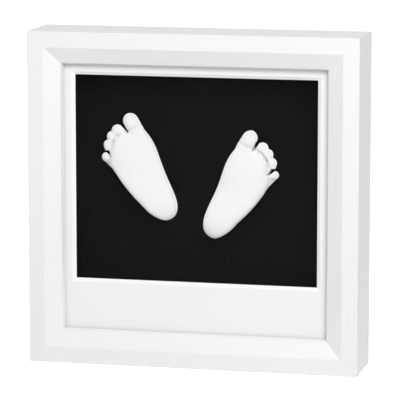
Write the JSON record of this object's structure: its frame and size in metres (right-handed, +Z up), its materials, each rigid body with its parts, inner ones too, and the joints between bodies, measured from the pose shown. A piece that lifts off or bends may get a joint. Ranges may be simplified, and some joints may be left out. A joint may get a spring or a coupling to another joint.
{
  "type": "box display frame",
  "caption": "Deep square white box frame with a bevel-cut window mat and a pair of plaster foot casts on a black board, for a shelf or a wall.",
  "frame": {"origin": "middle of the frame's foot, on the surface that it stands on", "axes": "+Z up, -Y out of the front towards the viewer, +X to the viewer's right"},
  "size_m": [0.25, 0.0552, 0.25],
  "materials": {
    "white_paint": "satin white paint on wood",
    "mat_card": "smooth white card",
    "black_card": "matt black paper face",
    "plaster": "matt cast plaster",
    "clear_pane": "clear acrylic sheet",
    "foam_tape": "white foam tape",
    "hardboard": "brown hardboard",
    "steel": "zinc plated"
  },
  "bodies": {
    "frame": {"top_rail": "white_paint", "bottom_rail": "white_paint", "left_rail": "white_paint", "right_rail": "white_paint", "corner_v_nails": "steel", "glazing_pane": "clear_pane", "window_mat": "mat_card", "top_spacer": "black_card", "bottom_spacer": "black_card", "left_spacer": "black_card", "right_spacer": "black_card", "mounting_board": "black_card", "right_foot_cast": "plaster", "left_foot_cast": "plaster", "cast_pads": "foam_tape", "back_panel": "hardboard", "turn_button_screws": "steel", "sawtooth_hanger": "steel", "hanger_nails": "steel"},
    "upper_left_button": {"upper_left_turn_button": "steel"},
    "lower_left_button": {"lower_left_turn_button": "steel"},
    "upper_right_button": {"upper_right_turn_button": "steel"},
    "lower_right_button": {"lower_right_turn_button": "steel"}
  },
  "joints": [
    {"name": "upper_left_button_turn", "type": "hinge", "parent": "frame", "child": "upper_left_button", "pos_m": [-0.1175, 0.02525, 0.185], "axis": [0, 1, 0], "continuous": true},
    {"name": "lower_left_button_turn", "type": "hinge", "parent": "frame", "child": "lower_left_button", "pos_m": [-0.1175, 0.02525, 0.065], "axis": [0, 1, 0], "continuous": true},
    {"name": "upper_right_button_turn", "type": "hinge", "parent": "frame", "child": "upper_right_button", "pos_m": [0.1175, 0.02525, 0.185], "axis": [0, 1, 0], "continuous": true},
    {"name": "lower_right_button_turn", "type": "hinge", "parent": "frame", "child": "lower_right_button", "pos_m": [0.1175, 0.02525, 0.065], "axis": [0, 1, 0], "continuous": true}
  ]
}
